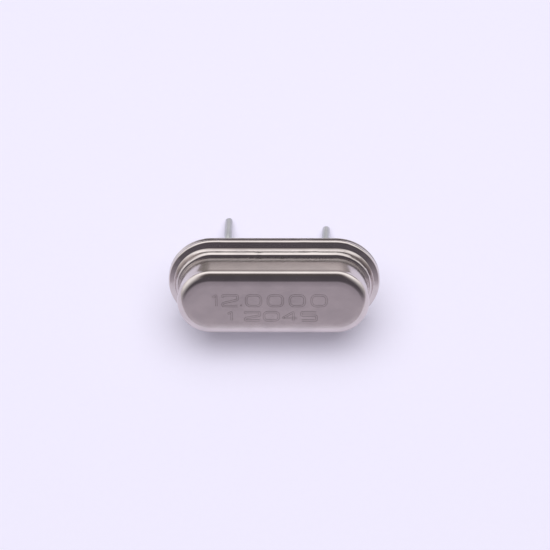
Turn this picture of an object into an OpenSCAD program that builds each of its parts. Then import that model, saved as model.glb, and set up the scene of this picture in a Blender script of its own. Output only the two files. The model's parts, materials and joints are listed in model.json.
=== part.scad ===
// Quartz crystal resonator in a low metal can with two wire leads, lying on its side.
// The pieces are drawn standing on the seat: X along the can, Y across it and Z from the seat
// to the top of the can. lay_down() then tips the whole crystal over, so that it rests on the
// lower edge of its base plate and on the tips of its leads, with the can held clear.

/* [Can] */
// Length of the can over its round ends
can_l = 9.88; // [9.5:0.02:10.2]
// Width of the can across its flat sides
can_w = 3.48; // [3.3:0.02:3.7]
// Height from the seat to the top of the can
can_h = 3.15; // [3:0.05:3.6]
// Thickness of the sheet where it is drawn thin, in the can and the step
wall_t = 0.2; // [0.16:0.01:0.24]
// Outer radius round the top edge of the can
top_r = 0.41; // [0.32:0.01:0.6]
// Fillet between the can and the ledge of the step
can_foot_r = 0.03; // [0.02:0.01:0.04]

/* [Step] */
// How far the step stands out from the wall of the can
step_out = 0.235; // [0.18:0.005:0.28]
// Height of the step above the flange
step_h = 0.79; // [0.7:0.01:0.95]
// Radius round the top edge of the step
step_r = 0.12; // [0.06:0.01:0.13]
// Radius of the hollow curve that spreads the foot of the step
cove_r = 0.76; // [0.5:0.02:1]
// Fillet between the hollow curve and the flange
cove_foot_r = 0.05; // [0.03:0.01:0.1]

/* [Flange] */
// Thickness of the sheet in the flange of the cover
sheet_t = 0.28; // [0.22:0.01:0.32]
// How far the flange stands out from the step
flange_out = 0.35; // [0.3:0.01:0.4]
// Flat of the flange between the foot of the step and the rounded edge
flange_flat = 0.02; // [0.01:0.01:0.04]
// Rounding of the edge of the flange on the cover
cover_edge_r = 0.1; // [0.05:0.01:0.12]

/* [Base plate] */
// Thickness of the flange on the base plate
base_t = 0.24; // [0.2:0.01:0.3]
// Rounding of the edge of the base plate
base_edge_r = 0.08; // [0.04:0.01:0.09]
// Height of the boss that stands inside the step
boss_h = 0.78; // [0.6:0.02:0.8]
// Gap between the boss and the inside of the step
boss_gap = 0.12; // [0.06:0.01:0.2]
// Rounding of the top edge of the boss
boss_edge_r = 0.1; // [0.05:0.01:0.15]

/* [Glass seals] */
// Diameter of each glass seal
seal_d = 1.4; // [1.1:0.05:1.6]
// Depth of the hollow that the glass draws at both ends
meniscus = 0.05; // [0.02:0.01:0.08]

/* [Leads] */
// Diameter of the lead wire
lead_d = 0.4; // [0.38:0.01:0.48]
// Distance between the leads at the seat
lead_pitch = 4.88; // [4.7:0.02:5.08]
// Length of the left wire outside the base plate
left_len = 6; // [5.6:0.1:6.4]
// Length of the right wire outside the base plate
right_len = 5.5; // [5.2:0.1:5.9]
// Diameter of the nail head inside the can
head_d = 0.84; // [0.7:0.02:1]
// Thickness of the nail head
head_t = 0.12; // [0.08:0.01:0.15]
// Gap between the glass and the nail head
head_gap = 0.1; // [0.05:0.01:0.15]
// Radius of the slight bends that handling has left in the wire
bend_r = 5; // [4:0.5:6]
// Straight length of wire from the seat to the first bend
exit_len = 0.5; // [0.4:0.05:0.8]
// Straight length of wire between the two bends
mid_len = 2.2; // [1.8:0.1:2.4]

/* [Spring clips] */
// Thickness of the clip strip
clip_t = 0.1; // [0.06:0.01:0.12]
// Width of the clip strip
clip_w = 1; // [0.8:0.05:1.2]
// Inner radius of the folds in the clip
clip_fold_r = 0.08; // [0.04:0.01:0.1]
// Height of the shelf under the quartz above the nail head
clip_rise = 0.74; // [0.6:0.02:0.9]
// Gap between each clip and the round end of the can, on the middle line
clip_can_gap = 0.45; // [0.35:0.05:0.6]
// Length of quartz that lies on each clip
clip_grip = 0.72; // [0.6:0.02:0.9]
// Gap between the end of the quartz and the lip of the clip
clip_end_gap = 0.12; // [0.08:0.01:0.2]
// Height of the lip above the top of the quartz
clip_lip = 0.12; // [0.08:0.01:0.2]

/* [Quartz] */
// Width of the quartz strip
quartz_w = 2; // [1.6:0.05:2.2]
// Thickness of the quartz strip
quartz_t = 0.14; // [0.1:0.01:0.25]
// Width of the bevel along the long edges of the strip
quartz_bevel = 0.03; // [0.01:0.005:0.04]

/* [Electrodes] */
// Thickness of the silver film
film_t = 0.02; // [0.015:0.005:0.03]
// Length of the electrode pad
pad_l = 4.4; // [3.8:0.1:5]
// Width of the electrode pad
pad_w = 1.4; // [1.1:0.05:1.5]
// Width of the track from the pad towards the clip
track_w = 0.6; // [0.4:0.05:0.8]

/* [Adhesive] */
// Radius of each drop of adhesive on the quartz
drop_r = 0.46; // [0.35:0.01:0.5]
// Height of each drop above the quartz
drop_h = 0.22; // [0.15:0.01:0.3]
// Width of the bead between the quartz and the lip of the clip
bead_w = 0.6; // [0.4:0.05:0.8]

/* [Hidden] */
$fn = 64;

LEFT = -1;
RIGHT = 1;
// How far a cutter runs past what it cuts
over = 0.2;
// How deep the foot of a wall is sunk into the flange or ledge that carries it
sunk = wall_t / 2;

// Outlines: half widths, and half the straight length between the two round ends
can_half = can_w / 2;
can_run = (can_l - can_w) / 2;
step_w = can_w + 2 * step_out;
step_l = can_l + 2 * step_out;
step_half = step_w / 2;
step_run = (step_l - step_w) / 2;
flange_w = step_w + 2 * flange_out;
flange_l = step_l + 2 * flange_out;
flange_half = flange_w / 2;
flange_run = (flange_l - flange_w) / 2;
boss_half = step_half - wall_t - boss_gap;

// The rounded shoulder of the step leaves room for the fillet at the foot of the can
shoulder_r = min(step_r, step_out - can_foot_r);

// Heights above the seat
flange_top = base_t + sheet_t;
ledge_z = flange_top + step_h;
boss_top = base_t + boss_h;
head_z = boss_top + head_gap;
head_top = head_z + head_t;
shelf_z = head_top + clip_rise;
quartz_top = shelf_z + quartz_t;
inner_top_r = top_r - wall_t;

// Wire and seals
lead_r = lead_d / 2;
// How much a bend thickens the wire
bend_swell = 0.002;
// How far a straight run of wire reaches into the head or the bend at its end
run_in = 0.05;
seal_r = seal_d / 2;
lead_x = lead_pitch / 2;

// Each lead: direction of the bend round the wire, how far it leans out, how far it leans back
// and its length
lead_set_left = [105, 9, 7.1, left_len];
lead_set_right = [40, 7.2, 5.5, right_len];

// Clips and quartz, measured from the middle of the can
clip_lip_x = can_l / 2 - wall_t - clip_can_gap - clip_t;
quartz_l = 2 * (clip_lip_x - clip_end_gap);
clip_riser_x = quartz_l / 2 - clip_grip;
clip_bend_r = clip_fold_r + clip_t;

// The silver tracks end where they touch the upper fold of the clip
track_end = clip_riser_x + clip_bend_r
    - sqrt(clip_bend_r * clip_bend_r - (clip_bend_r - film_t) * (clip_bend_r - film_t));

// Where the wire ends, as [lean away from the straight, distance below the seat]
function lead_end_len(set) =
    set[3] - exit_len - mid_len - lead_r - bend_r * (set[1] + set[2]) * PI / 180;
function lead_tip(set) =
    let (out = set[1], last = set[1] - set[2])
    [bend_r * (1 - cos(out)) + mid_len * sin(out) + bend_r * (cos(last) - cos(out))
        + lead_end_len(set) * sin(last),
     exit_len + bend_r * sin(out) + mid_len * cos(out) + bend_r * (sin(out) - sin(last))
        + lead_end_len(set) * cos(last)];
function tip_y(set) = lead_tip(set)[0] * sin(set[0]);

// How far the can is raised: the slope of the line that touches the rounded edge of the base
// plate and the tip of a lead from below. The crystal rests on the tip that touches first.
edge_y = flange_half - base_edge_r;
function rest_angle(set) =
    let (rise = edge_y + tip_y(set), run = base_edge_r + lead_tip(set)[1])
    atan2(rise, run) - asin((lead_r - base_edge_r) / norm([rise, run]));
raised = min(rest_angle(lead_set_left), rest_angle(lead_set_right));

// Reach of the lying crystal backwards to the lead tips, forwards to the can and down
function tip_reach(set) =
    lead_tip(set)[1] * cos(raised) + tip_y(set) * sin(raised) + lead_r;
reach_back = max(tip_reach(lead_set_left), tip_reach(lead_set_right));
reach_front = (can_h - top_r) * cos(raised) + (can_half - top_r) * sin(raised) + top_r;
reach_down = edge_y * cos(raised) - base_edge_r * sin(raised) + base_edge_r;

// Tips a standing piece over onto its side, over the middle of the crystal's footprint
module lay_down()
    translate([0, (reach_front - reach_back) / 2, reach_down])
        rotate([90 - raised, 0, 0])
            children();

// Carries a section, drawn as [distance from the middle line, height], round a long outline
module around(half_run) {
    for (side = [LEFT, RIGHT])
        translate([side * half_run, 0, 0])
            rotate([0, 0, -90 * side])
                rotate_extrude(angle = 180) children();
    rotate([90, 0, 90])
        linear_extrude(2 * half_run, center = true) {
            children();
            mirror([1, 0]) children();
        }
}

// Keeps a piece on the right, or mirrors it to the left
module on_side(side)
    mirror([side == LEFT ? 1 : 0, 0, 0]) children();

// Section of a solid slab from the middle line out to its edge
module slab_section(half, z_low, z_high)
    translate([0, z_low]) square([half, z_high - z_low]);

// Waste outside a rounded upper corner of a section
module upper_corner_waste(half, z_high, r)
    difference() {
        translate([half - r, z_high - r]) square(r + over);
        translate([half - r, z_high - r]) circle(r);
    }

// Waste outside a rounded lower corner of a section
module lower_corner_waste(half, z_low, r)
    difference() {
        translate([half - r, z_low - over]) square(r + over);
        translate([half - r, z_low + r]) circle(r);
    }

// Fillet in the corner between a ledge and the upright wall above it
module foot_fillet(half, z_low, r)
    difference() {
        translate([half - sunk, z_low]) square([sunk + r, r]);
        translate([half + r, z_low + r]) circle(r);
    }

// Flange section with both edges rounded
module flange_section(z_low, z_high, edge_r)
    difference() {
        slab_section(flange_half, z_low, z_high);
        upper_corner_waste(flange_half, z_high, edge_r);
        lower_corner_waste(flange_half, z_low, edge_r);
    }

// Foot of the step: a wide hollow curve that starts upright in the wall of the step, and a small
// fillet on the flange
module foot_section() {
    fillet = [flange_half - cover_edge_r - flange_flat, flange_top + cove_foot_r];
    hollow_x = step_half + cove_r;
    span = cove_r - cove_foot_r;
    turn = acos((hollow_x - fillet[0]) / span);
    outward = [cos(turn), sin(turn)];
    hollow = fillet + span * outward;
    joint = fillet - cove_foot_r * outward;
    root = [step_half - sunk, flange_top - sunk];
    difference() {
        polygon([[root[0], joint[1]], joint, [step_half, hollow[1]], [root[0], hollow[1]]]);
        translate(hollow) circle(cove_r);
    }
    difference() {
        polygon([root, [fillet[0], root[1]], fillet, joint, [root[0], joint[1]]]);
        translate(fillet) circle(cove_foot_r);
    }
}

// Outside of the step: hollow foot, upright band and rounded shoulder
module step_section() {
    difference() {
        slab_section(step_half, flange_top - sunk, ledge_z);
        upper_corner_waste(step_half, ledge_z, shoulder_r);
    }
    foot_section();
}

// Outside of the can: straight wall, rounded top edge and a small fillet on the ledge
module can_section() {
    difference() {
        slab_section(can_half, ledge_z - sunk, can_h);
        upper_corner_waste(can_half, can_h, top_r);
    }
    foot_fillet(can_half, ledge_z, can_foot_r);
}

// Room inside the can, one wall thickness in from the outside
module can_room_section()
    difference() {
        slab_section(can_half - wall_t, ledge_z - wall_t - over, can_h - wall_t);
        upper_corner_waste(can_half - wall_t, can_h - wall_t, inner_top_r);
    }

module can_cover()
    color([0.72, 0.69, 0.69])
        difference() {
            union() {
                around(flange_run) flange_section(base_t, flange_top, cover_edge_r);
                around(step_run) step_section();
                around(can_run) can_section();
            }
            around(step_run) slab_section(step_half - wall_t, base_t - over, ledge_z - wall_t);
            around(can_run) can_room_section();
        }

module base_plate()
    color([0.7, 0.68, 0.66])
        difference() {
            union() {
                around(flange_run) flange_section(0, base_t, base_edge_r);
                around(step_run)
                    difference() {
                        slab_section(boss_half, base_t - sunk, boss_top);
                        upper_corner_waste(boss_half, boss_top, boss_edge_r);
                    }
            }
            for (side = [LEFT, RIGHT])
                translate([side * lead_x, 0, -over])
                    cylinder(r = seal_r, h = boss_top + 2 * over);
        }

// Ring of glass between the base plate and the wire, hollowed at both ends
module glass_seal(side) {
    half_ring = (seal_r - lead_r) / 2;
    hollow_r = (half_ring * half_ring + meniscus * meniscus) / (2 * meniscus);
    color([0.24, 0.3, 0.32])
        translate([side * lead_x, 0, 0])
            rotate_extrude()
                difference() {
                    translate([lead_r, 0]) square([2 * half_ring, boss_top]);
                    translate([lead_r + half_ring, meniscus - hollow_r]) circle(hollow_r);
                    translate([lead_r + half_ring, boss_top - meniscus + hollow_r])
                        circle(hollow_r);
                }
}

// Bends the wire by an angle towards +X and carries on from the end of the bend
module wire_bend(angle) {
    translate([bend_r, 0, 0])
        rotate([90, 0, 0])
            rotate([0, 0, 180])
                rotate_extrude(angle = angle)
                    translate([bend_r, 0]) circle(lead_r + bend_swell);
    translate([bend_r * (1 - cos(angle)), 0, -bend_r * sin(angle)])
        rotate([0, -angle, 0])
            children();
}

// The same bend the other way
module wire_bend_back(angle)
    rotate([0, 0, 180]) wire_bend(angle) children();

// Straight wire running down into a bend, with the rest of the wire carried on from its end
module wire_run(len) {
    translate([0, 0, -len - run_in]) cylinder(r = lead_r, h = len + 2 * run_in);
    translate([0, 0, -len]) children();
}

// Last straight stretch of a wire, with its rounded tip
module wire_end(len)
    translate([0, 0, -len]) {
        cylinder(r = lead_r, h = len + run_in);
        sphere(lead_r);
    }

// Wire lead: nail head inside the can, shank through the glass and two slight bends outside
module lead(side, set)
    color([0.66, 0.66, 0.66])
        translate([side * lead_x, 0, head_z]) {
            cylinder(d = head_d, h = head_t);
            rotate([0, 0, set[0]])
                wire_run(head_z + exit_len)
                    wire_bend(set[1])
                        wire_run(mid_len)
                            wire_bend_back(set[2])
                                wire_end(lead_end_len(set));
        }

// A quarter turn of clip strip in section, between two straight stretches
module strip_fold()
    intersection() {
        difference() {
            circle(clip_bend_r);
            circle(clip_fold_r);
        }
        square(clip_bend_r);
    }

// Side view of a clip: foot on the nail head, riser, shelf under the quartz and end lip
module clip_section() {
    foot_x = lead_x - head_d / 2;
    foot_top = head_top + clip_t;
    shelf_low = shelf_z - clip_t;
    lower_bend_x = clip_riser_x + clip_t - clip_bend_r;
    upper_bend_x = clip_riser_x + clip_bend_r;
    lip_bend_x = clip_lip_x - clip_fold_r;
    translate([foot_x, head_top]) square([lower_bend_x - foot_x, clip_t]);
    translate([lower_bend_x, foot_top + clip_fold_r]) rotate(-90) strip_fold();
    translate([clip_riser_x, foot_top + clip_fold_r])
        square([clip_t, shelf_low - foot_top - 2 * clip_fold_r]);
    translate([upper_bend_x, shelf_z - clip_bend_r]) rotate(90) strip_fold();
    translate([upper_bend_x, shelf_low]) square([lip_bend_x - upper_bend_x, clip_t]);
    translate([lip_bend_x, shelf_z + clip_fold_r]) rotate(-90) strip_fold();
    translate([clip_lip_x, shelf_z + clip_fold_r])
        square([clip_t, quartz_t + clip_lip - clip_fold_r]);
}

module spring_clip(side)
    color([0.78, 0.74, 0.62])
        on_side(side)
            rotate([90, 0, 0])
                linear_extrude(clip_w, center = true) clip_section();

// Quartz strip with its long edges bevelled
module quartz_strip() {
    half = quartz_w / 2;
    flat = half - quartz_bevel;
    color([0.86, 0.9, 0.93])
        rotate([90, 0, 90])
            linear_extrude(quartz_l, center = true)
                polygon([[-flat, shelf_z], [flat, shelf_z],
                         [half, shelf_z + quartz_bevel], [half, quartz_top - quartz_bevel],
                         [flat, quartz_top], [-flat, quartz_top],
                         [-half, quartz_top - quartz_bevel], [-half, shelf_z + quartz_bevel]]);
}

// Silver pad with a track towards the clip on one side
module electrode(side, z_low)
    color([0.85, 0.85, 0.87])
        on_side(side)
            translate([0, 0, z_low])
                linear_extrude(film_t) {
                    square([pad_l, pad_w], center = true);
                    translate([0, -track_w / 2]) square([track_end, track_w]);
                }

// Silver adhesive: a drop over one end of the quartz and a bead between that end and the clip
module adhesive(side) {
    ball_r = (drop_r * drop_r + drop_h * drop_h) / (2 * drop_h);
    drop_x = clip_lip_x - drop_r;
    color([0.6, 0.6, 0.58])
        difference() {
            on_side(side) {
                intersection() {
                    translate([drop_x, 0, quartz_top + drop_h - ball_r]) sphere(ball_r);
                    translate([drop_x - ball_r, -ball_r, quartz_top])
                        cube([2 * ball_r, 2 * ball_r, ball_r]);
                }
                rotate([90, 0, 0])
                    linear_extrude(bead_w, center = true)
                        difference() {
                            translate([quartz_l / 2, shelf_z]) square([clip_end_gap, quartz_t]);
                            lower_corner_waste(clip_lip_x, shelf_z, clip_fold_r);
                        }
            }
            electrode(LEFT, quartz_top);
        }
}

lay_down() can_cover();
lay_down() base_plate();
lay_down() glass_seal(LEFT);  // glass_seal_left
lay_down() glass_seal(RIGHT);  // glass_seal_right
lay_down() lead(LEFT, lead_set_left);  // lead_left
lay_down() lead(RIGHT, lead_set_right);  // lead_right
lay_down() spring_clip(LEFT);  // spring_clip_left
lay_down() spring_clip(RIGHT);  // spring_clip_right
lay_down() quartz_strip();
lay_down() electrode(LEFT, quartz_top);  // electrode_top
lay_down() electrode(RIGHT, shelf_z - film_t);  // electrode_bottom
lay_down() adhesive(LEFT);  // adhesive_left
lay_down() adhesive(RIGHT);  // adhesive_right
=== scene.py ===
import json
import math

import bmesh
import bpy
from mathutils import Matrix, Vector


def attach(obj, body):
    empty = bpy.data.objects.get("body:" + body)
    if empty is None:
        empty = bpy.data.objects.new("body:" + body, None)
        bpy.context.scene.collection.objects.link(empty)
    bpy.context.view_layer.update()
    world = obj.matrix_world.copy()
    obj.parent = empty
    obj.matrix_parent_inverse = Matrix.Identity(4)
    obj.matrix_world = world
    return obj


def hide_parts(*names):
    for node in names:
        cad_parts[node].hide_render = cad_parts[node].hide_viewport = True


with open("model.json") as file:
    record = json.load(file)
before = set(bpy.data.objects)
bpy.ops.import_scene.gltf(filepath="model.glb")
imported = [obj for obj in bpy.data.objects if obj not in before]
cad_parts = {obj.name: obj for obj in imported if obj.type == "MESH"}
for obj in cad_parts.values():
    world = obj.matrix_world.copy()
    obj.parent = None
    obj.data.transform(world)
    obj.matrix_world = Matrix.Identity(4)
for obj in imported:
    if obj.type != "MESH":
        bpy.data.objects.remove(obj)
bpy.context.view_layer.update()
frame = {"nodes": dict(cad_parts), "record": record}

# Looks of a metal-can quartz crystal that lies on its side. Shapes are worked out in
# millimetres with the crystal standing on its seat: X along the can, Y across it and Z from the
# seat to the top of the can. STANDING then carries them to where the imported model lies. A
# section of the can or the base plate is a list of (half width, height), and slopes are in
# degrees from level.

MM = 0.001
LEFT, RIGHT = -1, 1

# Sizes as in the solids: can, step, flange of the cover, base plate and its boss
CAN_L, CAN_W, CAN_H = 9.88, 3.48, 3.15
WALL_T, TOP_R = 0.2, 0.41
STEP_OUT, STEP_H = 0.235, 0.79
SHEET_T, FLANGE_OUT = 0.28, 0.35
BASE_T = 0.24
BOSS_H, BOSS_GAP, BOSS_EDGE_R = 0.78, 0.12, 0.1

# Sizes as in the solids: seals, leads with their nail heads, and the bends in the leads
SEAL_R, MENISCUS = 0.7, 0.05
LEAD_R, LEAD_X = 0.2, 2.44
HEAD_R, HEAD_T, HEAD_GAP = 0.42, 0.12, 0.1
BEND_R, EXIT_LEN, MID_LEN = 5.0, 0.5, 2.2

# For each lead: which way its bends lean, the bend out, the bend back and the length of wire
# outside the base plate
LEAD_SETS = {LEFT: (105, 9, 7.1, 6.0), RIGHT: (40, 7.2, 5.5, 5.5)}

# Top of the can: how far it sags towards its rounded edge, and over which width
FACE_SAG, FACE_SAG_OUT = 0.005, 0.3
# Wall of the can: how far it draws in from its middle towards its ends
WALL_BELLY = 0.012
# Shoulder of the step: fillet at the foot of the can, radius and top of the shoulder
CAN_FOOT_R, SHOULDER_R, SHOULDER_Z = 0.02, 0.125, 1.175
# Hollow side of the step: half width and slope at its top and at its foot, and the foot's fillet
SIDE_TOP_HALF, SIDE_TOP_SLOPE = 1.913, 80.5
SIDE_FOOT_HALF, SIDE_FOOT_SLOPE, FOOT_FILLET_R = 1.998, 62, 0.05
# Flange of the cover: slope of its top, and its height at the foot of the step
FLANGE_SLOPE, FLANGE_CREST = 8, 0.565
# Worn edge of that flange: radius of its side and how far that turns, and radii above and below
EDGE_SIDE_R, EDGE_SIDE_TURN, EDGE_TOP_R, EDGE_FOOT_R = 0.3, 25, 0.07, 0.03
# Edge of the base plate: chamfer at the seam, and radius at the seat
BASE_CHAMFER, BASE_EDGE_R = 0.12, 0.06

# Half widths, straight run and heights that follow
RUN = (CAN_L - CAN_W) / 2
CAN_HALF = CAN_W / 2
STEP_HALF = CAN_HALF + STEP_OUT
FLANGE_HALF = STEP_HALF + FLANGE_OUT
BOSS_HALF = STEP_HALF - WALL_T - BOSS_GAP
LEDGE_Z = BASE_T + SHEET_T + STEP_H
BOSS_TOP = BASE_T + BOSS_H
HEAD_Z = BOSS_TOP + HEAD_GAP

# Dents from handling: place along the can, across it and up it, radius and depth. One with a
# negative depth stands out.
DENTS = (
    (4.46, 1.42, 1.1, 0.14, 0.016),
    (4.66, 1.2, 1.12, 0.11, 0.014),
    (4.84, 0.98, 1.02, 0.12, 0.015),
    (4.28, 1.6, 1.06, 0.13, 0.014),
    (4.03, 1.72, 1.1, 0.12, 0.012),
    (4.98, 0.6, 0.98, 0.15, 0.012),
    (4.72, 1.5, 0.66, 0.16, -0.012),
    (-0.76, 1.86, 1.1, 0.08, 0.02),
    (2.1, 1.9, 0.85, 0.3, 0.006),
    (-4.6, 1.95, 0.5, 0.14, 0.012),
    (-5.05, 1.45, 0.5, 0.12, 0.012),
    (3.9, 2.22, 0.45, 0.16, 0.012),
    (-2.9, 2.29, 0.42, 0.2, 0.008),
    (1.6, 2.3, 0.4, 0.25, 0.01),
    (4.2, -1.6, 1.05, 0.15, 0.012),
)

# Marking on the top of the can: plain digits cut by a laser as fine double lines. A digit is
# whether its stroke is closed, and the corners of the stroke in a unit square.
DIGITS = {
    "0": (True, ((0, 0), (1, 0), (1, 1), (0, 1))),
    "1": (False, ((0, 0.78), (0.55, 1), (0.55, 0))),
    "2": (False, ((0, 0.8), (0, 1), (1, 1), (1, 0.58), (0, 0.26), (0, 0), (1, 0))),
    "4": (False, ((0.72, 0), (0.72, 1), (0, 0.3), (1, 0.3))),
    "5": (False, ((1, 1), (0, 1), (0, 0.58), (1, 0.58), (1, 0), (0, 0))),
    ".": (True, ((0, 0), (1, 0), (1, 1), (0, 1))),
}
# A row of digits, from which to which place across the can, and the middle of each digit along it
UPPER_ROW = ("12.0000", -0.05, 0.57, (-2.93, -2.2, -1.64, -1.0, 0.12, 1.24, 2.36))
LOWER_ROW = ("12045", -0.88, -0.4, (-2.15, -1.06, -0.09, 0.87, 1.84))
DIGIT_W, ONE_W, DOT_SIZE = 0.76, 0.34, 0.07
# Radius of a corner, at most a share of the stretches beside it, and that of a closed stroke
CORNER_R, CORNER_SHARE, CLOSED_CORNER_R = 0.06, 0.45, 0.26
# Each line: how far from the middle of its stroke, half its width, its height and its root
LINE_GAP, LINE_HALF, LINE_H, LINE_SUNK = 0.045, 0.018, 0.004, 0.001

# How finely the meshes are cut: round each end, along each side, round a lead or a seal, up the
# wall, over the sag, round the corner of a stroke, round the tip of a lead and along its wire
END_STEPS, RUN_STEPS, TURN_STEPS = 112, 56, 64
WALL_STEPS, SAG_STEPS, CORNER_STEPS, TIP_STEPS = 12, 8, 6, 8
STEPS_PER_DEGREE, STEPS_PER_MM = 4, 6
# How far the rounded tip of a lead turns before its flat, and at which angle an edge is sharp
TIP_TURN, SHARP_ANGLE = 87.3, 35
WELD_DISTANCE = 1e-6


def standing_matrix():
    """From the standing crystal in millimetres to the lying one in metres, by its seat mount."""
    seat = next(m for m in frame["record"]["mounts"] if m["name"] == "seat")
    up = -Vector(seat["axis"]).normalized()
    along = Vector((1, 0, 0))
    across = up.cross(along)
    turn = Matrix((along, across, up)).transposed().to_4x4()
    return Matrix.Translation(Vector(seat["pos_m"])) @ turn @ Matrix.Scale(MM, 4)


STANDING = standing_matrix()


# ---- Meshes -------------------------------------------------------------------------------

def arc(centre, r, start, end, steps):
    """Points of an arc in a section, from one angle to another in degrees."""
    angles = [math.radians(start + (end - start) * i / steps) for i in range(steps + 1)]
    return [(centre[0] + r * math.cos(a), centre[1] + r * math.sin(a)) for a in angles]


def ring(half, z):
    """A long outline with two round ends, anticlockwise from the foot of its right end."""
    points = []
    for side in (RIGHT, LEFT):
        for i in range(END_STEPS):
            turn = math.radians(-90 * side + 180 * i / END_STEPS)
            points.append(Vector((side * RUN + half * math.cos(turn), half * math.sin(turn), z)))
        for i in range(RUN_STEPS):
            points.append(Vector((side * RUN * (1 - 2 * i / RUN_STEPS), side * half, z)))
    return points


def circle(centre, r, z):
    turns = [math.tau * i / TURN_STEPS for i in range(TURN_STEPS)]
    return [Vector((centre[0] + r * math.cos(t), centre[1] + r * math.sin(t), z)) for t in turns]


def add_ring(bm, points):
    return [bm.verts.new(p) for p in points]


def skin(bm, rings, closed=False):
    """Quads between rings of vertices that follow one another."""
    after = rings[1:] + rings[:1] if closed else rings[1:]
    for low, high in zip(rings, after):
        for i, start in enumerate(low):
            j = (i + 1) % len(low)
            bm.faces.new((start, low[j], high[j], high[i]))


def sweep(bm, section):
    """Rings of vertices that carry a section round the long outline."""
    rings = [add_ring(bm, ring(half, z)) for half, z in section]
    skin(bm, rings)
    return rings


def cap_with_holes(bm, outline, holes):
    """Flat cap between an outline and the rings of vertices of the holes in it."""
    edges = []
    for loop in [outline, *holes]:
        for a, b in zip(loop, loop[1:] + loop[:1]):
            edges.append(bm.edges.get((a, b)) or bm.edges.new((a, b)))
    bmesh.ops.triangle_fill(bm, use_beauty=True, use_dissolve=False, edges=edges)


def piece(name, bm, material, node, replaces=True):
    """Finishes a mesh drawn in the standing frame: a smooth piece in the given material, hung on
    the root, which hides the CAD node when it replaces it.
    """
    bmesh.ops.remove_doubles(bm, verts=bm.verts, dist=WELD_DISTANCE)
    bmesh.ops.recalc_face_normals(bm, faces=bm.faces)
    for face in bm.faces:
        face.smooth = True
    sharp = math.radians(SHARP_ANGLE)
    for edge in bm.edges:
        edge.smooth = len(edge.link_faces) != 2 or edge.calc_face_angle(0) < sharp
    bm.transform(STANDING)
    mesh = bpy.data.meshes.new(name)
    bm.to_mesh(mesh)
    bm.free()
    mesh.materials.append(material)
    obj = bpy.data.objects.new(name, mesh)
    bpy.context.scene.collection.objects.link(obj)
    normals = obj.modifiers.new("even_normals", "WEIGHTED_NORMAL")
    normals.keep_sharp = True
    normals.weight = 100
    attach(obj, "root")
    if replaces:
        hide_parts(node)


# ---- Cover --------------------------------------------------------------------------------

def can_top():
    """Top of the can, which sags a few microns towards its rounded edge."""
    flat = CAN_HALF - TOP_R
    slope = math.degrees(2 * FACE_SAG / FACE_SAG_OUT)
    shares = [i / SAG_STEPS for i in range(SAG_STEPS)]
    sag = [(flat - FACE_SAG_OUT * (1 - share), CAN_H - FACE_SAG * share ** 2) for share in shares]
    return sag + arc((flat, CAN_H - FACE_SAG - TOP_R), TOP_R, 90 - slope, 0, steps=24)


def can_wall():
    """Wall of the can, bellied by a few microns so that its tone changes up its height."""
    low, high = SHOULDER_Z + CAN_FOOT_R, CAN_H - TOP_R
    heights = [low + (high - low) * i / WALL_STEPS for i in range(1, WALL_STEPS)]
    middle, half = (low + high) / 2, (high - low) / 2
    return [(CAN_HALF - WALL_BELLY * ((z - middle) / half) ** 2, z) for z in reversed(heights)]


def shoulder():
    """From the foot of the can round to the top of the side of the step."""
    foot_x = CAN_HALF + CAN_FOOT_R
    foot = arc((foot_x, SHOULDER_Z + CAN_FOOT_R), CAN_FOOT_R, 180, 270, steps=5)
    top = arc((foot_x, SHOULDER_Z - SHOULDER_R), SHOULDER_R, 90, 90 - SIDE_TOP_SLOPE, steps=14)
    return foot + top[1:]


def flange_level(half):
    """Height of the sloping top of the flange."""
    return FLANGE_CREST - (half - SIDE_FOOT_HALF) * math.tan(math.radians(FLANGE_SLOPE))


def step_side():
    """Hollow side of the step down to its fillet on the flange."""
    start, foot = 270 - SIDE_TOP_SLOPE, 270 - SIDE_FOOT_SLOPE
    lean, turn = math.radians(90 - SIDE_TOP_SLOPE), math.radians(90 - SIDE_FOOT_SLOPE)
    hollow_r = (SIDE_FOOT_HALF - SIDE_TOP_HALF) / (math.cos(lean) - math.cos(turn))
    centre_x = SIDE_TOP_HALF + hollow_r * math.cos(lean)
    fillet_x = centre_x - (hollow_r - FOOT_FILLET_R) * math.cos(turn)
    fillet_z = flange_level(SIDE_FOOT_HALF) + FOOT_FILLET_R
    centre_z = fillet_z + (hollow_r - FOOT_FILLET_R) * math.sin(turn)
    hollow = arc((centre_x, centre_z), hollow_r, start, foot, steps=20)
    fillet = arc((fillet_x, fillet_z), FOOT_FILLET_R, foot, 270 - FLANGE_SLOPE, steps=8)
    return hollow + fillet[1:]


def flange_edge():
    """Edge of the flange of the cover, from its sloping top round to its underside."""
    crest, turn = math.radians(90 - FLANGE_SLOPE), math.radians(EDGE_SIDE_TURN)
    side_x = FLANGE_HALF - EDGE_SIDE_R
    knee_x = side_x + (EDGE_SIDE_R - EDGE_TOP_R) * math.cos(turn)
    knee_top = flange_level(knee_x + EDGE_TOP_R * math.cos(crest))
    knee_z = knee_top - EDGE_TOP_R * math.sin(crest)
    side_z = knee_z - (EDGE_SIDE_R - EDGE_TOP_R) * math.sin(turn)
    foot = (FLANGE_HALF - EDGE_FOOT_R, BASE_T + EDGE_FOOT_R)
    return (arc((knee_x, knee_z), EDGE_TOP_R, 90 - FLANGE_SLOPE, EDGE_SIDE_TURN, steps=8)
            + arc((side_x, side_z), EDGE_SIDE_R, EDGE_SIDE_TURN, 0, steps=10)[1:]
            + arc(foot, EDGE_FOOT_R, 0, -90, steps=6))


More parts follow.
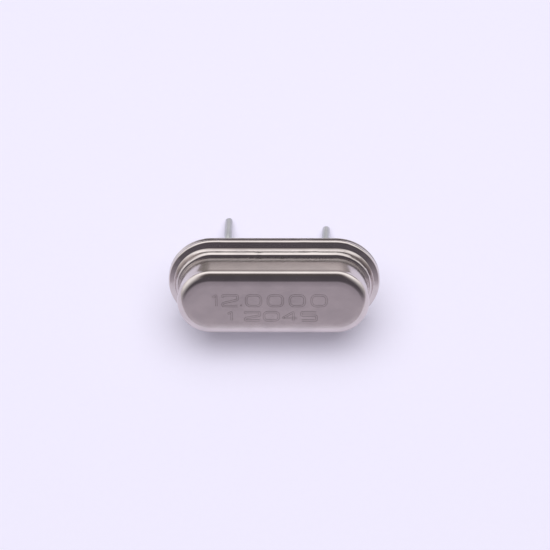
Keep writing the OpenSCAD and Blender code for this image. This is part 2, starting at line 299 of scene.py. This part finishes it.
def cover_section():
    """Outside of the cover from its top down to the edge of the flange, then back up inside."""
    outside = can_top() + can_wall() + shoulder() + step_side() + flange_edge()
    room_half, room_top = STEP_HALF - WALL_T, LEDGE_Z - WALL_T
    inner_half, inner_r = CAN_HALF - WALL_T, TOP_R - WALL_T
    corner = (inner_half - inner_r, CAN_H - WALL_T - inner_r)
    inside = [(room_half, BASE_T), (room_half, room_top), (inner_half, room_top)]
    return outside + inside + arc(corner, inner_r, 0, 90, steps=6)


def make_cover(material):
    bm = bmesh.new()
    rings = sweep(bm, cover_section())
    bm.faces.new(rings[0])
    bm.faces.new(reversed(rings[-1]))
    bm.normal_update()
    for vert in bm.verts:
        for x, y, z, r, depth in DENTS:
            gap = (vert.co - Vector((x, y, z))).length / r
            vert.co -= vert.normal * depth * math.exp(-gap * gap)
    piece("cover_shell", bm, material, "can_cover")


# ---- Marking ------------------------------------------------------------------------------

def rounded_stroke(corners, closed, corner_r):
    """Points of a stroke whose corners are rounded by quadratic curves."""
    points = []
    last = len(corners) - 1
    for i, corner in enumerate(corners):
        if not closed and i in (0, last):
            points.append(corner)
            continue
        before, after = corners[i - 1] - corner, corners[(i + 1) % len(corners)] - corner
        reach = min(corner_r, before.length * CORNER_SHARE, after.length * CORNER_SHARE)
        start, end = corner + before.normalized() * reach, corner + after.normalized() * reach
        for k in range(CORNER_STEPS + 1):
            t = k / CORNER_STEPS
            points.append(start * (1 - t) ** 2 + corner * 2 * t * (1 - t) + end * t * t)
    return points


def beside(points, offset, closed):
    """Points moved sideways from a line."""
    moved = []
    count = len(points)
    for i, point in enumerate(points):
        ahead = points[(i + 1) % count] if closed else points[min(i + 1, count - 1)]
        behind = points[i - 1] if closed else points[max(i - 1, 0)]
        along = (ahead - behind).normalized()
        moved.append(point + Vector((-along.y, along.x, 0)) * offset)
    return moved


def add_line(bm, loop):
    """A fine closed ridge along a loop on the top of the can."""
    rings = []
    for offset, rise in ((-LINE_HALF, -LINE_SUNK), (0, LINE_H), (LINE_HALF, -LINE_SUNK)):
        points = beside(loop, offset, True)
        rings.append(add_ring(bm, [Vector((p.x, p.y, CAN_H + rise)) for p in points]))
    skin(bm, rings, closed=True)


def add_digit(bm, digit, place, low, high):
    """A digit on the top of the can: a double line, or a single one for the dot."""
    closed, shape = DIGITS[digit]
    width = {"1": ONE_W, ".": DOT_SIZE}.get(digit, DIGIT_W)
    height = DOT_SIZE if digit == "." else high - low
    corners = [Vector((place + (x - 0.5) * width, low + y * height, 0)) for x, y in shape]
    stroke = rounded_stroke(corners, closed, CLOSED_CORNER_R if closed else CORNER_R)
    if digit == ".":
        add_line(bm, stroke)
    elif closed:
        add_line(bm, beside(stroke, LINE_GAP, True))
        add_line(bm, beside(stroke, -LINE_GAP, True))
    else:
        back = list(reversed(beside(stroke, -LINE_GAP, False)))
        add_line(bm, beside(stroke, LINE_GAP, False) + back)


def make_marking(material):
    bm = bmesh.new()
    for text, low, high, places in (UPPER_ROW, LOWER_ROW):
        for digit, place in zip(text, places):
            add_digit(bm, digit, place, low, high)
    piece("top_marking", bm, material, "can_cover", replaces=False)


# ---- Base, seals and leads ----------------------------------------------------------------

def make_base(material):
    bm = bmesh.new()
    boss_corner = (BOSS_HALF - BOSS_EDGE_R, BOSS_TOP - BOSS_EDGE_R)
    chamfer = [(FLANGE_HALF - BASE_CHAMFER, BASE_T), (FLANGE_HALF, BASE_T - BASE_CHAMFER)]
    section = (arc(boss_corner, BOSS_EDGE_R, 90, 0, steps=8)
               + [(BOSS_HALF, BASE_T)] + chamfer
               + arc((FLANGE_HALF - BASE_EDGE_R, BASE_EDGE_R), BASE_EDGE_R, 0, -90, steps=10))
    rings = sweep(bm, section)
    tops, feet = [], []
    for side in (LEFT, RIGHT):
        tops.append(add_ring(bm, circle((side * LEAD_X, 0), SEAL_R, BOSS_TOP)))
        feet.append(add_ring(bm, circle((side * LEAD_X, 0), SEAL_R, 0)))
        skin(bm, [tops[-1], feet[-1]])
    cap_with_holes(bm, rings[0], tops)
    cap_with_holes(bm, rings[-1], feet)
    piece("base_shell", bm, material, "base_plate")


def make_seal(side, name, material):
    """Glass ring round a lead, hollowed at both ends."""
    bm = bmesh.new()
    half = (SEAL_R - LEAD_R) / 2
    hollow_r = (half * half + MENISCUS * MENISCUS) / (2 * MENISCUS)
    spread = math.degrees(math.asin(half / hollow_r))
    middle = LEAD_R + half
    foot = arc((middle, MENISCUS - hollow_r), hollow_r, 90 + spread, 90 - spread, steps=12)
    top_centre = (middle, BOSS_TOP - MENISCUS + hollow_r)
    top = arc(top_centre, hollow_r, spread - 90, -spread - 90, steps=12)
    rings = [add_ring(bm, circle((side * LEAD_X, 0), r, z)) for r, z in foot + top]
    skin(bm, rings, closed=True)
    piece(name + "_glass", bm, material, name)


def lead_path(side):
    """Middle line of a lead below its head as (point, lean), in the plane of its bends."""
    _, out, back, length = LEAD_SETS[side]
    end_len = length - EXIT_LEN - MID_LEN - LEAD_R - BEND_R * math.radians(out + back)
    stretches = ((HEAD_Z + EXIT_LEN, 0), (0, out), (MID_LEN, 0), (0, -back), (end_len, 0))
    x, z, lean = 0.0, HEAD_Z, 0.0
    path = []
    for straight, turn in stretches:
        steps = max(2, round(abs(turn) * STEPS_PER_DEGREE if turn else straight * STEPS_PER_MM))
        step_len = (straight + BEND_R * math.radians(abs(turn))) / steps
        for _ in range(steps):
            path.append((Vector((x, 0, z)), lean))
            middle = math.radians(lean + turn / steps / 2)
            x += step_len * math.sin(middle)
            z -= step_len * math.cos(middle)
            lean += turn / steps
    path.append((Vector((x, 0, z)), lean))
    return path


def make_lead(side, name, material):
    """Nail head, then the wire swept along its bends, closed by a rounded tip."""
    bm = bmesh.new()
    path = lead_path(side)
    stations = [(point, lean, LEAD_R) for point, lean in path]
    tip, tip_lean = path[-1]
    lean = math.radians(tip_lean)
    ahead = Vector((math.sin(lean), 0, -math.cos(lean)))
    for i in range(1, TIP_STEPS + 1):
        turn = math.radians(TIP_TURN * i / TIP_STEPS)
        stations.append((tip + ahead * LEAD_R * math.sin(turn), tip_lean,
                         LEAD_R * math.cos(turn)))
    rings = [circle((0, 0), HEAD_R, z) for z in (HEAD_Z + HEAD_T, HEAD_Z)]
    for point, lean, r in stations:
        tilt = Matrix.Rotation(-math.radians(lean), 4, "Y")
        rings.append([point + tilt @ p for p in circle((0, 0), r, 0)])
    azimuth = Matrix.Rotation(math.radians(LEAD_SETS[side][0]), 4, "Z")
    place = Matrix.Translation((side * LEAD_X, 0, 0)) @ azimuth
    loops = [add_ring(bm, [place @ p for p in points]) for points in rings]
    skin(bm, loops)
    bm.faces.new(loops[0])
    bm.faces.new(reversed(loops[-1]))
    piece(name + "_wire", bm, material, name)


# ---- Materials ----------------------------------------------------------------------------

# Places of the colour sockets on a Mix node
MIX_A, MIX_B, MIX_RESULT = 6, 7, 2

# Depth of the bumps in metres: on metal, glass and paste, and on lapped quartz
BUMP_DEPTH, FINE_BUMP_DEPTH = 1e-5, 1e-6

# Foot of the can's wall, which the drawing left matt: from and to which height, over which
# stretch it begins and fades, and how much rougher it is
MATT_LOW, MATT_HIGH = 1.25, 1.4
MATT_START, MATT_FADE, MATT_ROUGH = 0.01, 0.3, 0.15


class Graph:
    """Shorthand for building a node tree."""

    def __init__(self, tree):
        self.tree = tree
        tree.nodes.clear()

    def add(self, kind, sockets=None, **settings):
        node = self.tree.nodes.new("ShaderNode" + kind)
        for key, value in settings.items():
            setattr(node, key, value)
        for key, value in (sockets or {}).items():
            self.put(node.inputs[key], value)
        return node

    def put(self, socket, value):
        if isinstance(value, bpy.types.NodeSocket):
            self.tree.links.new(value, socket)
        else:
            socket.default_value = value

    def math(self, operation, *values):
        node = self.add("Math", operation=operation)
        for socket, value in zip(node.inputs, values):
            self.put(socket, value)
        return node.outputs[0]

    def weigh(self, a, share_a, b, share_b):
        """Sum of two values, each times its share."""
        return self.math("ADD", self.math("MULTIPLY", a, share_a),
                         self.math("MULTIPLY", b, share_b))

    def step(self, value, low, high, start=0.0, end=1.0):
        """Smooth step from start to end as value goes from low to high."""
        node = self.add("MapRange", {"Value": value, "From Min": low, "From Max": high,
                                     "To Min": start, "To Max": end},
                        interpolation_type="SMOOTHSTEP")
        return node.outputs[0]

    def ramp(self, value, stops):
        """Colour ramp through (place, colour) stops."""
        node = self.add("ValToRGB", {"Fac": value})
        elements = node.color_ramp.elements
        while len(elements) < len(stops):
            elements.new(0.5)
        for element, (place, colour) in zip(elements, stops):
            element.position = place
            element.color = (*colour, 1)
        return node.outputs[0]

    def mix(self, share, a, b):
        node = self.add("Mix", data_type="RGBA")
        self.put(node.inputs["Factor"], share)
        self.put(node.inputs[MIX_A], a)
        self.put(node.inputs[MIX_B], b)
        return node.outputs[MIX_RESULT]

    def blend(self, share, a, b):
        """Blend of two shaders."""
        return self.add("MixShader", {0: share, 1: a.outputs[0], 2: b.outputs[0]})

    def noise(self, where, scale, detail, rough=0.5):
        node = self.add("TexNoise", {"Vector": where, "Scale": scale, "Detail": detail,
                                     "Roughness": rough})
        return node.outputs["Fac"]


def material(name):
    made = bpy.data.materials.new(name)
    made.use_nodes = True
    return made, Graph(made.node_tree)


def millimetres(graph):
    """Object coordinates in millimetres."""
    where = graph.add("TexCoord").outputs["Object"]
    return graph.add("VectorMath", {0: where, 1: (1 / MM,) * 3}, operation="MULTIPLY").outputs[0]


def height_up(graph):
    """Height above the seat in millimetres, with the crystal standing."""
    seat, up = STANDING.translation / MM, STANDING.col[2].to_3d().normalized()
    along = graph.add("VectorMath", {0: millimetres(graph), 1: up}, operation="DOT_PRODUCT")
    return graph.math("SUBTRACT", along.outputs["Value"], seat.dot(up))


def finish(graph, look, bump_height, bump_strength, bump_depth=BUMP_DEPTH):
    """Ends a material with a principled shader over a bump."""
    shader = graph.add("BsdfPrincipled", look)
    bump = graph.add("Bump", {"Height": bump_height, "Strength": bump_strength,
                              "Distance": bump_depth})
    graph.put(shader.inputs["Normal"], bump.outputs[0])
    graph.add("OutputMaterial", {"Surface": shader.outputs[0]})


def plated_metal(name, colour, dull, low_rough, high_rough, matt_foot=False):
    """Satin plating: cloudy tone, fine grain in the gloss and the slight waves of drawn sheet."""
    made, graph = material(name)
    where = millimetres(graph)
    clouds = graph.noise(where, scale=0.9, detail=3)
    grain = graph.noise(where, scale=22, detail=4, rough=0.6)
    waves = graph.noise(where, scale=1.6, detail=2)
    tone = graph.mix(graph.step(clouds, 0.35, 0.7), (*colour, 1), (*dull, 1))
    rough = graph.step(graph.weigh(grain, 0.5, clouds, 0.5), 0.3, 0.7, low_rough, high_rough)
    if matt_foot:
        level = height_up(graph)
        begun = graph.step(level, MATT_LOW - MATT_START, MATT_LOW + MATT_START)
        faded = graph.step(level, MATT_HIGH + MATT_FADE, MATT_HIGH)
        zone = graph.math("MULTIPLY", begun, faded)
        rough = graph.math("ADD", rough, graph.math("MULTIPLY", zone, MATT_ROUGH))
    look = {"Base Color": tone, "Metallic": 1.0, "Roughness": rough}
    finish(graph, look, graph.weigh(waves, 0.5, grain, 0.05), 0.5)
    return made


def seal_glass():
    made, graph = material("seal_glass")
    where = millimetres(graph)
    clouds = graph.noise(where, scale=3, detail=3)
    look = {"Base Color": graph.mix(clouds, (0.015, 0.03, 0.032, 1), (0.05, 0.08, 0.08, 1)),
            "Roughness": graph.step(clouds, 0.3, 0.7, 0.08, 0.2),
            "IOR": 1.52}
    finish(graph, look, graph.noise(where, scale=9, detail=2), 0.2)
    return made


def quartz_crystal():
    made, graph = material("quartz_crystal")
    frost = graph.noise(millimetres(graph), scale=14, detail=4)
    look = {"Base Color": graph.mix(frost, (0.86, 0.9, 0.93, 1), (0.94, 0.96, 0.97, 1)),
            "Roughness": graph.step(frost, 0.3, 0.7, 0.15, 0.3),
            "IOR": 1.54, "Transmission Weight": 1.0}
    finish(graph, look, frost, 0.3, FINE_BUMP_DEPTH)
    return made


def silver_paste():
    made, graph = material("silver_paste")
    flakes = graph.noise(millimetres(graph), scale=30, detail=4)
    look = {"Base Color": graph.mix(flakes, (0.42, 0.41, 0.39, 1), (0.66, 0.65, 0.62, 1)),
            "Metallic": 0.6,
            "Roughness": graph.step(flakes, 0.3, 0.7, 0.4, 0.7)}
    finish(graph, look, flakes, 0.6)
    return made


nickel = plated_metal("satin_nickel", (0.66, 0.60, 0.585), (0.60, 0.545, 0.535), 0.1, 0.17,
                      matt_foot=True)
base_nickel = plated_metal("base_nickel", (0.62, 0.58, 0.56), (0.56, 0.52, 0.50), 0.22, 0.34)
wire = plated_metal("tinned_wire", (0.58, 0.59, 0.60), (0.49, 0.50, 0.51), 0.28, 0.42)
burned = plated_metal("laser_burned_nickel", (0.38, 0.33, 0.32), (0.30, 0.26, 0.25), 0.3, 0.45)
spring = plated_metal("nickel_silver", (0.68, 0.62, 0.50), (0.60, 0.55, 0.44), 0.2, 0.3)
silver = plated_metal("silver_film", (0.86, 0.85, 0.82), (0.80, 0.79, 0.76), 0.15, 0.25)
glass = seal_glass()
quartz = quartz_crystal()
paste = silver_paste()


# ---- Pieces -------------------------------------------------------------------------------

make_cover(nickel)
make_marking(burned)
make_base(base_nickel)
for side, word in ((LEFT, "left"), (RIGHT, "right")):
    make_seal(side, "glass_seal_" + word, glass)
    make_lead(side, "lead_" + word, wire)

# What is inside the can keeps the shape of its solids, so only its material is set
INSIDE = {"spring_clip": spring, "quartz": quartz, "electrode": silver, "adhesive": paste}
for name, node in frame["nodes"].items():
    for start, made in INSIDE.items():
        if name.startswith(start):
            node.data.materials.clear()
            node.data.materials.append(made)


# ---- Studio -------------------------------------------------------------------------------

# A sheet of pale paper: its colour, half its size and its front edge in metres, how far its
# fibres darken it, and the share of its own white that it shows
FLOOR_COLOUR = (0.875, 0.845, 0.975)
FLOOR_HALF, FLOOR_FRONT = 0.05, -0.0215
FLOOR_SHADE, FLOOR_GLOW = 0.985, 0.15

# Brightness of the room by elevation in degrees, from just under the horizon to the ceiling.
# LOWEST is how far under the horizon the room is worked out, as the sine of that angle.
LOWEST = 0.15
BACK_LEVELS = ((-8, 0.38), (0, 0.42), (3, 0.58), (6, 0.76), (9, 0.86), (13, 1.1), (18, 1.35),
               (30, 1.5), (40, 1.3), (50, 0.85), (58, 0.38), (64, 0.16), (70, 0.11))
SIDE_LEVELS = ((-8, 0.9), (0, 0.9), (5, 1.0), (10, 1.2), (30, 1.35), (45, 1.1), (55, 0.7),
               (62, 0.3), (70, 0.11))
FRONT_LEVELS = ((-8, 0.64), (-3, 0.46), (0, 0.36), (4, 0.23), (10, 0.15), (20, 0.11), (90, 0.1))
WARM, VIOLET = (1, 0.9, 0.92), (1, 0.91, 1.07)

# Shares by direction in degrees: 0 is straight behind the crystal, and 90 is to its right
BEHIND = ((-41, 0), (-38, 1), (42, 1), (46, 0))
IN_FRONT = ((-145, 1), (-120, 0.65), (-100, 0.25), (-75, 0),
            (55, 0), (80, 0.4), (100, 0.75), (130, 1))

# Dim strips on both sides of the back wall: their direction, the height up to which they are
# whole and the one where they end, as sines, how much they hide of the wall, and their colour
STRIPS = ((-26, 0), (-19, 0.6), (-14, 1), (-8, 0.85), (-2, 0.25), (0, 0),
          (12, 0), (17, 0.3), (25, 0.8), (32, 1), (39, 0.8), (46, 0))
STRIP_WHOLE, STRIP_END, STRIP_SHARE = 0.1, 0.24, 0.75
STRIP_COLOUR = (0.17, 0.16, 0.15, 1)

# Plain light of the room on what isn't metal, and the lamp overhead, in metres and watts
FILL_LEVEL = 0.22
LAMP_SIZE, LAMP_HEIGHT, LAMP_POWER = 0.24, 0.15, 0.30


def make_floor():
    """Pale paper that keeps the shadow but shows a little of its own white."""
    made, graph = material("pale_paper")
    fibre = graph.noise(millimetres(graph), scale=3, detail=4)
    shade = [c * FLOOR_SHADE for c in FLOOR_COLOUR]
    tone = graph.mix(fibre, (*FLOOR_COLOUR, 1), (*shade, 1))
    paper = graph.add("BsdfDiffuse", {"Color": tone, "Roughness": 0.5})
    white = graph.add("Emission", {"Color": tone, "Strength": 1.0})
    path = graph.add("LightPath").outputs
    seen = graph.math("MAXIMUM", path["Is Camera Ray"], path["Is Glossy Ray"])
    seen = graph.math("MAXIMUM", seen, path["Is Transmission Ray"])
    both = graph.blend(graph.math("MULTIPLY", seen, FLOOR_GLOW), paper, white)
    graph.add("OutputMaterial", {"Surface": both.outputs[0]})
    bm = bmesh.new()
    corners = ((-FLOOR_HALF, FLOOR_FRONT), (FLOOR_HALF, FLOOR_FRONT),
               (FLOOR_HALF, FLOOR_HALF), (-FLOOR_HALF, FLOOR_HALF))
    bm.faces.new([bm.verts.new((x, y, 0)) for x, y in corners])
    mesh = bpy.data.meshes.new("floor")
    bm.to_mesh(mesh)
    bm.free()
    mesh.materials.append(made)
    floor = bpy.data.objects.new("floor", mesh)
    bpy.context.scene.collection.objects.link(floor)


def room_colour(graph):
    """Colour of the room by direction: walls behind and beside, a dim ceiling and front."""
    split = graph.add("SeparateXYZ", {0: graph.add("TexCoord").outputs["Generated"]})
    x, y, z = split.outputs
    azimuth = graph.math("ADD", graph.math("DIVIDE", graph.math("ARCTAN2", x, y), math.tau), 0.5)
    height = graph.math("DIVIDE", graph.math("ADD", z, LOWEST), 1 + LOWEST)

    def up(levels, tint):
        """Levels by elevation: near white where bright, and tinted where dim."""
        stops = []
        for angle, level in levels:
            dim = min(1, max(0, 2 * (1 - level)))
            place = (math.sin(math.radians(angle)) + LOWEST) / (1 + LOWEST)
            stops.append((place, [level * (1 + dim * (c - 1)) for c in tint]))
        return graph.ramp(height, stops)

    def around(shares):
        return graph.ramp(azimuth, [(angle / 360 + 0.5, (share,) * 3)
                                    for angle, share in shares])

    colour = graph.mix(around(BEHIND), up(SIDE_LEVELS, WARM), up(BACK_LEVELS, WARM))
    colour = graph.mix(around(IN_FRONT), colour, up(FRONT_LEVELS, VIOLET))
    low = graph.step(z, STRIP_WHOLE, STRIP_END, STRIP_SHARE, 0)
    return graph.mix(graph.math("MULTIPLY", around(STRIPS), low), colour, STRIP_COLOUR)


def make_room():
    """The room as metal and glass reflect it, plain light for the rest, and a pale background."""
    world = bpy.data.worlds.new("studio")
    bpy.context.scene.world = world
    world.use_nodes = True
    graph = Graph(world.node_tree)
    room = graph.add("Background", {"Color": room_colour(graph), "Strength": 1.0})
    fill = graph.add("Background", {"Color": (*(FILL_LEVEL,) * 3, 1), "Strength": 1.0})
    paper = graph.add("Background", {"Color": (*FLOOR_COLOUR, 1), "Strength": 1.0})
    path = graph.add("LightPath").outputs
    shine = graph.math("MAXIMUM", path["Is Glossy Ray"], path["Is Transmission Ray"])
    lit = graph.blend(shine, fill, room)
    shown = graph.blend(path["Is Camera Ray"], lit, paper)
    graph.add("OutputWorld", {"Surface": shown.outputs[0]})


def make_lamp():
    """A broad soft lamp overhead, which gives the floor its light and its soft shadow."""
    lamp = bpy.data.lights.new("overhead", "AREA")
    lamp.shape = "DISK"
    lamp.size = LAMP_SIZE
    lamp.energy = LAMP_POWER
    over = bpy.data.objects.new("overhead", lamp)
    over.location = (0, 0, LAMP_HEIGHT)
    over.visible_glossy = False
    bpy.context.scene.collection.objects.link(over)


# Where the camera stands over the can: its pitch above the can's axis, its yaw and its roll in
# degrees, its distance in millimetres and its lens, what it aims at, and how far it is shifted
VIEW_PITCH, VIEW_YAW, VIEW_ROLL = 26.8, 1.22, 0.474
VIEW_DISTANCE, VIEW_LENS = 115.0, 145.13
AIM = Vector((0, 0, 1.6))
AIM_RIGHT, AIM_UP = -0.071, -0.854


def make_camera():
    data = bpy.data.cameras.new("camera")
    data.lens = VIEW_LENS
    data.sensor_width = 36
    data.clip_start, data.clip_end = 0.001, 20
    camera = bpy.data.objects.new("camera", data)
    bpy.context.scene.collection.objects.link(camera)
    bpy.context.scene.camera = camera
    yaw = Matrix.Rotation(-math.radians(VIEW_YAW), 3, "Y")
    pitch = Matrix.Rotation(math.radians(VIEW_PITCH), 3, "X")
    roll = Matrix.Rotation(math.radians(VIEW_ROLL), 3, "Z")
    turn = (roll @ pitch @ yaw).transposed()
    eye = AIM + turn @ Vector((-AIM_RIGHT, -AIM_UP, VIEW_DISTANCE))
    lying = STANDING.to_3x3().normalized() @ turn
    camera.matrix_world = Matrix.Translation(STANDING @ eye) @ lying.to_4x4()


make_floor()
make_room()
make_lamp()
make_camera()
bpy.context.scene.view_settings.view_transform = "Standard"
